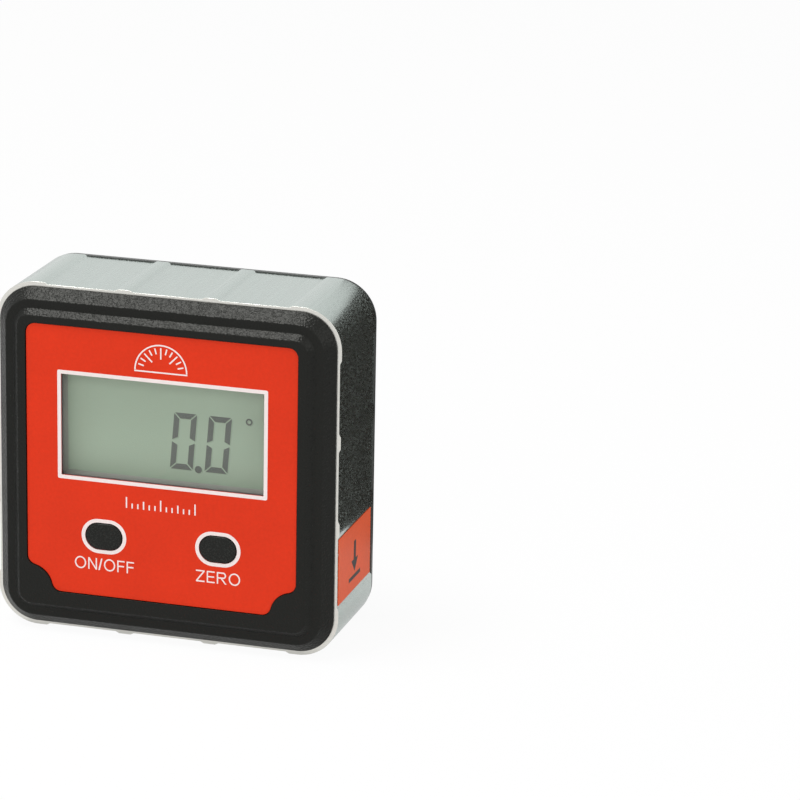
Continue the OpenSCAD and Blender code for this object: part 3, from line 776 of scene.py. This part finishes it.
def slanted(bm, x0, x1, z0, z1, lean=0.0, drop=0.0):
    """A patch whose top is pushed right by lean, or whose right end is let down by drop"""
    faces = patch(bm, x0, x1, z0, z1)
    shear = (
        Matrix.Shear("XY", 4, (lean / (z1 - z0), 0)) @ Matrix.Shear("YZ", 4, (0, -drop / (x1 - x0)))
    )
    corner = Matrix.Translation((x0, 0, z0))
    bmesh.ops.transform(bm, matrix=corner @ shear @ corner.inverted(), verts=corners_of(faces))


def hollow(bm, faces, width):
    """Leaves only a band of that width inside the faces' edge"""
    bmesh.ops.inset_region(
        bm, faces=faces, thickness=width, use_even_offset=True, use_boundary=True
    )
    bmesh.ops.delete(bm, geom=faces, context="FACES")


def thicken(bm, depth):
    """Gives flat faces that face the front a thickness towards the front"""
    grown = bmesh.ops.extrude_face_region(bm, geom=bm.faces[:], use_keep_orig=True)
    moved = [part for part in grown["geom"] if isinstance(part, bmesh.types.BMVert)]
    bmesh.ops.translate(bm, verts=moved, vec=(0, -depth, 0))
    bmesh.ops.recalc_face_normals(bm, faces=bm.faces)


def print_on_film(name, bm):
    """Turns flat faces into white print on the overlay film"""
    thicken(bm, bpy.context.scene.gauge_print.ink)
    bmesh.ops.translate(bm, verts=bm.verts, vec=(0, FILM_FRONT, 0))
    add_piece(name, bm, "housing", ["white_ink"])


class GAUGE_OT_housing(bpy.types.Operator):
    """Dress the frame, the covers, the battery door, the screws and the magnets"""

    bl_idname = "gauge.housing"
    bl_label = "Housing"

    def execute(self, context):
        edges = context.scene.gauge_edges

        def sawn(face):
            """1 on the sawn ends"""
            return int(abs(face.normal.y) > 0.5)

        def takes_painted_reflection(face):
            """1 on the walls behind the lens, which take the painted reflection of the display"""
            slack = 0.3 * MM
            return int(all(
                LENS_LO.x - slack < vert.co.x < LENS_HI.x + slack
                and LENS_LO.z - slack < vert.co.z < LENS_HI.z + slack
                and vert.co.y > LENS_LO.y + slack for vert in face.verts
            ))

        dress("frame", edges.frame, ["anodised_aluminium", "cut_aluminium"], sawn)
        # The front cover's walls behind the lens take the grey of the painted reflection
        dress("front_cover", edges.moulding, ["black_plastic", "shroud"], takes_painted_reflection)
        # The rear cover and the door take the paler plastic of the painted light
        dress("rear_cover", edges.moulding, ["rear_plastic"])
        dress("battery_door", edges.moulding, ["rear_plastic"])
        dress("cover_screws", edges.screw)
        for node in ("magnet_left", "magnet_middle", "magnet_right"):
            dress(node, edges.screw)
        return {"FINISHED"}


class GAUGE_OT_overlay(bpy.types.Operator):
    """Make the overlay film and its white print"""

    bl_idname = "gauge.overlay"
    bl_label = "Overlay"

    def execute(self, context):
        sizes = context.scene.gauge_print
        dress("front_overlay", context.scene.gauge_edges.film)
        self.border(sizes)
        for key in ("on_off", "zero"):
            self.key_ring(sizes, key)
        self.caption("on_off_caption", "ON/OFF", sizes.on_off_x, sizes)
        self.caption("zero_caption", "ZERO", sizes.zero_x, sizes)
        self.angle_fan(sizes)
        self.tick_scale(sizes)
        return {"FINISHED"}

    def border(self, sizes):
        """The white border round the window"""
        bm = bmesh.new()
        out = sizes.border - sizes.lens_lip
        faces = patch(bm, LENS_LO.x - out, LENS_HI.x + out, LENS_LO.z - out, LENS_HI.z + out)
        corners = corners_of(faces)
        hollow(bm, faces, sizes.border)
        bmesh.ops.bevel(
            bm, geom=corners, offset=sizes.border_round, affect="VERTICES", segments=6,
            profile=0.5, material=-1,
        )
        print_on_film("window_border", bm)

    def key_ring(self, sizes, key):
        """The white ring round a key"""
        lo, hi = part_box(key + "_button")
        x, z = (lo.x + hi.x) / 2, (lo.z + hi.z) / 2
        half_w, half_h = sizes.ring_w / 2, sizes.ring_h / 2
        flange = bpy.context.scene.gauge_edges.key_flange
        hole_h = (hi.z - lo.z) / 2 - flange + sizes.key_gap
        bm = bmesh.new()
        faces = patch(bm, x - half_w, x + half_w, z - half_h, z + half_h, half_h)
        hollow(bm, faces, half_h - hole_h)
        print_on_film(key + "_ring", bm)

    def caption(self, name, words, x, sizes):
        """Capitals under a key, drawn stroke by stroke from the left edge"""
        bm = bmesh.new()
        foot = CENTRE_Z - sizes.caption_z
        for letter in words:
            x += self.letter(bm, letter, x, foot, sizes) + sizes.caption_gap
        print_on_film(name, bm)

    def letter(self, bm, letter, x, foot, sizes):
        """Draws a capital and returns its width"""
        high, thick = sizes.caption_h, sizes.caption_t
        wide = high * LETTER_WIDTHS[letter]
        right, top = x + wide, foot + high
        if letter == "O":
            hollow(bm, disc(bm, x + wide / 2, foot + high / 2, wide, 1.05 * high), thick)
        elif letter == "/":
            slanted(bm, x - 0.6 * thick, x + 0.5 * thick, foot, top, lean=wide)
        elif letter == "Z":
            patch(bm, x, right, foot, foot + thick)
            patch(bm, x, right, top - thick, top)
            reach = 1.3 * thick
            slanted(bm, x, x + reach, foot + thick, top - thick, lean=wide - reach)
        else:
            patch(bm, x, x + thick, foot, top)
        if letter == "N":
            patch(bm, right - thick, right, foot, top)
            depth = 1.7 * thick
            slanted(bm, x + thick, right - thick, top - depth, top, drop=high - depth)
        if letter in "EF":
            middle = foot + 0.46 * high
            patch(bm, x + thick, right, top - thick, top)
            patch(bm, x + thick, x + 0.93 * wide, middle, middle + thick)
        if letter == "E":
            patch(bm, x + thick, right, foot, foot + thick)
        if letter == "R":
            middle = foot + 0.45 * high
            outer = (top - middle) / 2
            bend = x + 0.95 * wide - outer
            patch(bm, x + thick, bend, top - thick, top)
            patch(bm, x + thick, bend, middle, middle + thick)
            half_band(bm, Vector((bend, 0, middle + outer)), outer - thick, outer, -math.pi / 2)
            reach = 1.25 * thick
            slanted(bm, right - reach, right, foot, middle, lean=-0.44 * wide)
        return wide

    def angle_fan(self, sizes):
        """A half circle with ticks every 15 degrees over a base line"""
        bm = bmesh.new()
        centre = Vector((0, 0, CENTRE_Z + sizes.fan_z))
        half_band(bm, centre, sizes.fan_r - sizes.line, sizes.fan_r, 0, steps=48)
        base = centre.z - sizes.fan_base
        patch(bm, -sizes.fan_r, sizes.fan_r, base - sizes.line, base)
        half_line = sizes.line / 2
        count = 12
        for step in range(1, count):
            reach = sizes.fan_short if step % 3 else sizes.fan_long
            tick = patch(bm, sizes.fan_tick_r - reach, sizes.fan_tick_r, -half_line, half_line)
            turn = Matrix.Rotation(-math.pi * step / count, 4, "Y")
            bmesh.ops.transform(
                bm, matrix=Matrix.Translation(centre) @ turn, verts=corners_of(tick)
            )
        print_on_film("angle_fan", bm)

    def tick_scale(self, sizes):
        """A row of ticks, longest in the middle and at the ends"""
        bm = bmesh.new()
        half_line = sizes.line / 2
        foot = CENTRE_Z - sizes.scale_z
        short = [sizes.tick_short] * 2
        heights = [sizes.tick_long, *short, sizes.tick_mid, *short]
        count = 2 * len(heights)
        for step in range(count + 1):
            x = sizes.scale_w * (step / count - 0.5)
            patch(bm, x - half_line, x + half_line, foot, foot + heights[step % len(heights)])
        print_on_film("tick_scale", bm)


class GAUGE_OT_display(bpy.types.Operator):
    """Finish the lens and the panel, and make the shown digits and their painted shadow"""

    bl_idname = "gauge.display"
    bl_label = "Display"

    def execute(self, context):
        sizes = context.scene.gauge_print
        dress("display_window", context.scene.gauge_edges.film)
        dress("lcd_panel", context.scene.gauge_edges.film)
        # The segments' painted shadow: a darker copy of the reading, moved down and to the right
        painted_shadow_move = Vector((sizes.painted_shadow_x, 0, -sizes.painted_shadow_z))
        self.reading("reading_painted_shadow", sizes, painted_shadow_move, sizes.painted_shadow_t, "segment_echo")
        self.reading("reading", sizes, Vector(), sizes.segment_t, "segment_ink")
        return {"FINISHED"}

    def reading(self, name, sizes, move, thickness, material):
        """The figures 0.0 with the degree ring, on the panel's face; a moved, thinner, darker copy
        is their painted shadow
        """
        bm = bmesh.new()
        foot = CENTRE_Z + sizes.digit_z
        first, last, after = [sizes.digit_x + place * sizes.digit_pitch for place in range(3)]
        self.zero_digit(bm, sizes, first, foot)
        self.zero_digit(bm, sizes, last, foot)
        disc(bm, last - sizes.dot_x, foot + sizes.dot_z, sizes.dot_d)
        degree_z = foot + sizes.digit_h - sizes.degree_z
        ring = disc(bm, after + sizes.degree_x, degree_z, sizes.degree_d)
        hollow(bm, ring, sizes.degree_w)
        thicken(bm, thickness)
        bmesh.ops.translate(bm, verts=bm.verts, vec=move + Vector((0, PANEL_FRONT, 0)))
        add_piece(name, bm, "housing", [material])

    def zero_digit(self, bm, sizes, x, z):
        """Six mitred segments of a slanted figure"""
        before = set(bm.faces)
        wide, high, thick = sizes.digit_w, sizes.digit_h, sizes.segment_w
        mid = high / 2
        upright = ((0, mid), (0, high), (thick, high - thick), (thick, mid + thick / 2))
        level = ((0, high), (wide, high), (wide - thick, high - thick), (thick, high - thick))
        lean = math.tan(sizes.digit_slant)
        for outline, flip_x in ((upright, False), (upright, True), (level, False)):
            for flip_z in (False, True):
                verts = []
                for across, rise in outline:
                    across = wide - across if flip_x else across
                    rise = high - rise if flip_z else rise
                    verts.append(bm.verts.new((x + across + rise * lean, 0, z + rise)))
                bm.faces.new(verts)
        faces = added_faces(bm, before)
        bmesh.ops.recalc_face_normals(bm, faces=faces)
        rims = bmesh.ops.inset_individual(
            bm, faces=faces, thickness=sizes.segment_gap / 2, use_even_offset=True
        )
        bmesh.ops.delete(bm, geom=rims["faces"], context="FACES")
        face_front(added_faces(bm, before))


class GAUGE_OT_keys(bpy.types.Operator):
    """Make the two keys with their flanges"""

    bl_idname = "gauge.keys"
    bl_label = "Keys"

    def execute(self, context):
        edges = context.scene.gauge_edges
        for node in ("on_off_button", "zero_button"):
            self.key(node, edges)
        return {"FINISHED"}

    def key(self, node, edges):
        """A crowned key on its flange, drawn forwards from the flange's back"""
        lo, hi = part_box(node)
        bm = bmesh.new()
        face = patch(bm, lo.x, hi.x, lo.z, hi.z, (hi.z - lo.z) / 2)
        bmesh.ops.translate(bm, verts=bm.verts, vec=(0, hi.y, 0))
        front = self.grow(bm, face, edges.key_flange_t, keep=True)
        bmesh.ops.inset_region(bm, faces=front, thickness=edges.key_flange, use_even_offset=True)
        rise = hi.y - lo.y - edges.key_flange_t - edges.key_crown
        front = self.grow(bm, front, rise)
        rim = list(dict.fromkeys(edge for part in front for edge in part.edges))
        bmesh.ops.bevel(
            bm, geom=rim, offset=edges.key_round, affect="EDGES", segments=5,
            profile=0.5, material=-1,
        )
        level = [part for part in bm.faces if part.normal.y < -0.9]
        top = min(level, key=lambda part: part.calc_center_median().y)
        for step, lift in CROWN_STEPS:
            bmesh.ops.inset_region(bm, faces=[top], thickness=step, use_even_offset=True)
            bmesh.ops.translate(bm, verts=top.verts, vec=(0, -lift * edges.key_crown, 0))
        bmesh.ops.recalc_face_normals(bm, faces=bm.faces)
        stand_in(node, bm)

    def grow(self, bm, faces, depth, keep=False):
        """Draws faces forwards and returns the new front; the old one stays only if it is kept"""
        grown = bmesh.ops.extrude_face_region(bm, geom=faces, use_keep_orig=keep)
        if not keep:
            bmesh.ops.delete(bm, geom=faces, context="FACES_ONLY")
        verts = [part for part in grown["geom"] if isinstance(part, bmesh.types.BMVert)]
        bmesh.ops.translate(bm, verts=verts, vec=(0, -depth, 0))
        return [part for part in grown["geom"] if isinstance(part, bmesh.types.BMFace)]


class GAUGE_OT_sticker(bpy.types.Operator):
    """Make the side sticker and its mark"""

    bl_idname = "gauge.sticker"
    bl_label = "Sticker"

    def execute(self, context):
        dress("side_sticker", context.scene.gauge_edges.film)
        self.base_mark(context.scene.gauge_print)
        return {"FINISHED"}

    def base_mark(self, sizes):
        """An arrow down to a line, which shows the base; drawn facing the front, then turned"""
        bm = bmesh.new()
        foot = STICKER_LO.z + sizes.mark_z
        tip = foot + sizes.mark_line + sizes.arrow_gap
        neck = tip + sizes.arrow_h
        half_line, half_shaft, half_head = sizes.mark_w / 2, sizes.shaft_w / 2, sizes.arrow_w / 2
        patch(bm, -half_line, half_line, foot, foot + sizes.mark_line)
        patch(bm, -half_shaft, half_shaft, neck, neck + sizes.shaft_h)
        head = ((0, 0, tip), (half_head, 0, neck), (-half_head, 0, neck))
        bm.faces.new([bm.verts.new(corner) for corner in head])
        face_front(bm.faces)
        thicken(bm, sizes.ink)
        middle = Matrix.Translation((STICKER_HI.x, (STICKER_LO.y + STICKER_HI.y) / 2, 0))
        turn = Matrix.Rotation(math.radians(90), 4, "Z")
        bmesh.ops.transform(bm, matrix=middle @ turn, verts=bm.verts)
        add_piece("sticker_mark", bm, "housing", ["black_ink"])


class GAUGE_OT_inside(bpy.types.Operator):
    """Finish the inner nodes, which keep their solids"""

    bl_idname = "gauge.inside"
    bl_label = "Inside"

    def execute(self, context):
        materials = finishes()
        for node, piece in NODES.items():
            if piece.hide_render:
                continue
            piece.data.materials.clear()
            piece.data.materials.append(materials[SLOTS[node]])
        return {"FINISHED"}


class GAUGE_OT_stage(bpy.types.Operator):
    """Set the white room, the floor, the flag, the lamps and the camera"""

    bl_idname = "gauge.stage"
    bl_label = "Stage"

    def execute(self, context):
        stage = context.scene.gauge_stage
        context.scene.view_settings.view_transform = "Standard"
        self.room(context.scene, stage)
        self.floor(stage)
        self.side_flag(stage)
        self.lamp("key_lamp", stage.key_place, stage.key_size, stage.key_power, glare=False)
        self.lamp("top_lamp", stage.top_place, stage.top_size, stage.top_power)
        self.lamp("fill_lamp", stage.fill_place, stage.fill_size, stage.fill_power)
        self.camera(context.scene, stage)
        return {"FINISHED"}

    def seen(self, look, mirrored=1.0):
        """1 for what the camera sees, mirrored for a reflection or a clear surface, 0 for light"""
        camera, glossy, clear = [
            look.node("ShaderNodeLightPath", output=name)
            for name in ("Is Camera Ray", "Is Glossy Ray", "Is Transmission Ray")
        ]
        return camera | (glossy | clear) * mirrored

    def room(self, scene, stage):
        """An even white room"""
        world = bpy.data.worlds.new("studio")
        scene.world = world
        look = Shading(world)
        seen = self.seen(look)
        background = look.tree.nodes["Background"]
        look.put(background, "Color", (1, 1, 1, 1))
        look.put(background, "Strength", seen + (1 - seen) * stage.ambient)

    def put_up(self, name, bm, material):
        """Makes a bmesh a thing of the stage, which isn't part of the gauge"""
        mesh = bpy.data.meshes.new(name)
        bm.to_mesh(mesh)
        bm.free()
        mesh.materials.append(material)
        thing = bpy.data.objects.new(name, mesh)
        bpy.context.scene.collection.objects.link(thing)
        return thing

    def floor(self, stage):
        """A pale floor that is seen as white where no shadow lies"""
        bm = bmesh.new()
        bmesh.ops.create_grid(bm, x_segments=8, y_segments=8, size=stage.floor_reach)
        bmesh.ops.translate(bm, verts=bm.verts, vec=(0, 0, FRAME_LO.z - stage.floor_drop))
        look = Finish("floor", Roughness=0.9, Specular_IOR_Level=0)
        cloud = look.noise(3)
        look.wear(Base_Color=look.blend(cloud, stage.floor_dark[:], stage.floor_pale[:]))
        white = look.node("ShaderNodeEmission", None, {"Color": (1, 1, 1, 1), "Strength": 1.0})
        lit = Wire(look.tree, look.shader.outputs[0])
        glow = self.seen(look, stage.floor_mirrored) * stage.floor_glow
        mixed = look.node("ShaderNodeMixShader", None, {0: glow, 1: lit, 2: white})
        look.put(look.tree.nodes["Material Output"], "Surface", mixed)
        self.put_up("floor", bm, look.owner)

    def side_flag(self, stage):
        """A dark flag behind the right side, seen only as a reflection in the metal"""
        bm = bmesh.new()
        patch(bm, stage.flag_left, stage.flag_right, stage.flag_foot, stage.flag_head)
        bmesh.ops.translate(bm, verts=bm.verts, vec=(0, stage.flag_y, 0))
        look = Finish("flag_cloth", Roughness=0.9)
        weave = look.noise(900)
        look.wear(Base_Color=look.blend(weave, stage.flag_dark[:], stage.flag_pale[:]))
        flag = self.put_up("side_flag", bm, look.owner)
        flag.visible_camera = False
        flag.visible_diffuse = False
        flag.visible_shadow = False
        flag.visible_transmission = False

    def lamp(self, name, place, size, power, glare=True):
        """A soft square lamp that looks at the gauge, seen in its metal only with glare"""
        data = bpy.data.lights.new(name, "AREA")
        data.shape = "SQUARE"
        data.size = size
        data.energy = power
        lamp = bpy.data.objects.new(name, data)
        lamp.location = place
        lamp.visible_glossy = glare
        aim = Vector((0, 0, CENTRE_Z)) - lamp.location
        lamp.rotation_euler = aim.to_track_quat("-Z", "Y").to_euler()
        bpy.context.scene.collection.objects.link(lamp)

    def camera(self, scene, stage):
        """The viewing angle of the picture, from the middle of the frame's front"""
        az, el = stage.azimuth, stage.elevation
        back = Vector((
            math.sin(az) * math.cos(el), -math.cos(az) * math.cos(el), math.sin(el)
        ))
        level = Vector((math.cos(az), math.sin(az), 0))
        rise = back.cross(level)
        right = math.cos(stage.roll) * level + math.sin(stage.roll) * rise
        up = math.cos(stage.roll) * rise - math.sin(stage.roll) * level
        target = Vector((0, FRAME_LO.y, CENTRE_Z))
        data = bpy.data.cameras.new("camera")
        data.lens = stage.lens
        data.sensor_width = SENSOR_W
        data.clip_start = 0.01
        data.clip_end = 20
        camera = bpy.data.objects.new("camera", data)
        pose = Matrix((right, up, back)).transposed().to_4x4()
        pose.translation = target + back * stage.distance + right * stage.right + up * stage.up
        camera.matrix_world = pose
        scene.collection.objects.link(camera)
        scene.camera = camera


OPERATORS = (
    GAUGE_OT_housing, GAUGE_OT_overlay, GAUGE_OT_display, GAUGE_OT_keys, GAUGE_OT_sticker,
    GAUGE_OT_inside, GAUGE_OT_stage,
)
GROUPS = {
    "gauge_edges": GaugeEdges,
    "gauge_print": GaugePrint,
    "gauge_colours": GaugeColours,
    "gauge_stage": GaugeStage,
}


class GAUGE_PT_sidebar(bpy.types.Panel):
    """Lists the gauge's steps and its sizes and colours"""

    bl_idname = "GAUGE_PT_sidebar"
    bl_label = "Angle gauge"
    bl_space_type = "VIEW_3D"
    bl_region_type = "UI"
    bl_category = "Gauge"

    def draw(self, context):
        for operator in OPERATORS:
            self.layout.operator(operator.bl_idname)
        for name, group in GROUPS.items():
            box = self.layout.box()
            for prop in group.__annotations__:
                box.prop(getattr(context.scene, name), prop)


def register():
    for cls in (*GROUPS.values(), *OPERATORS, GAUGE_PT_sidebar):
        bpy.utils.register_class(cls)
    for name, group in GROUPS.items():
        setattr(bpy.types.Scene, name, PointerProperty(type=group))


def unregister():
    for name in GROUPS:
        delattr(bpy.types.Scene, name)
    for cls in (GAUGE_PT_sidebar, *reversed(OPERATORS), *reversed(list(GROUPS.values()))):
        bpy.utils.unregister_class(cls)


def main():
    register()
    bpy.ops.gauge.housing()
    bpy.ops.gauge.overlay()
    bpy.ops.gauge.display()
    bpy.ops.gauge.keys()
    bpy.ops.gauge.sticker()
    bpy.ops.gauge.inside()
    bpy.ops.gauge.stage()


if __name__ == "__main__":
    main()
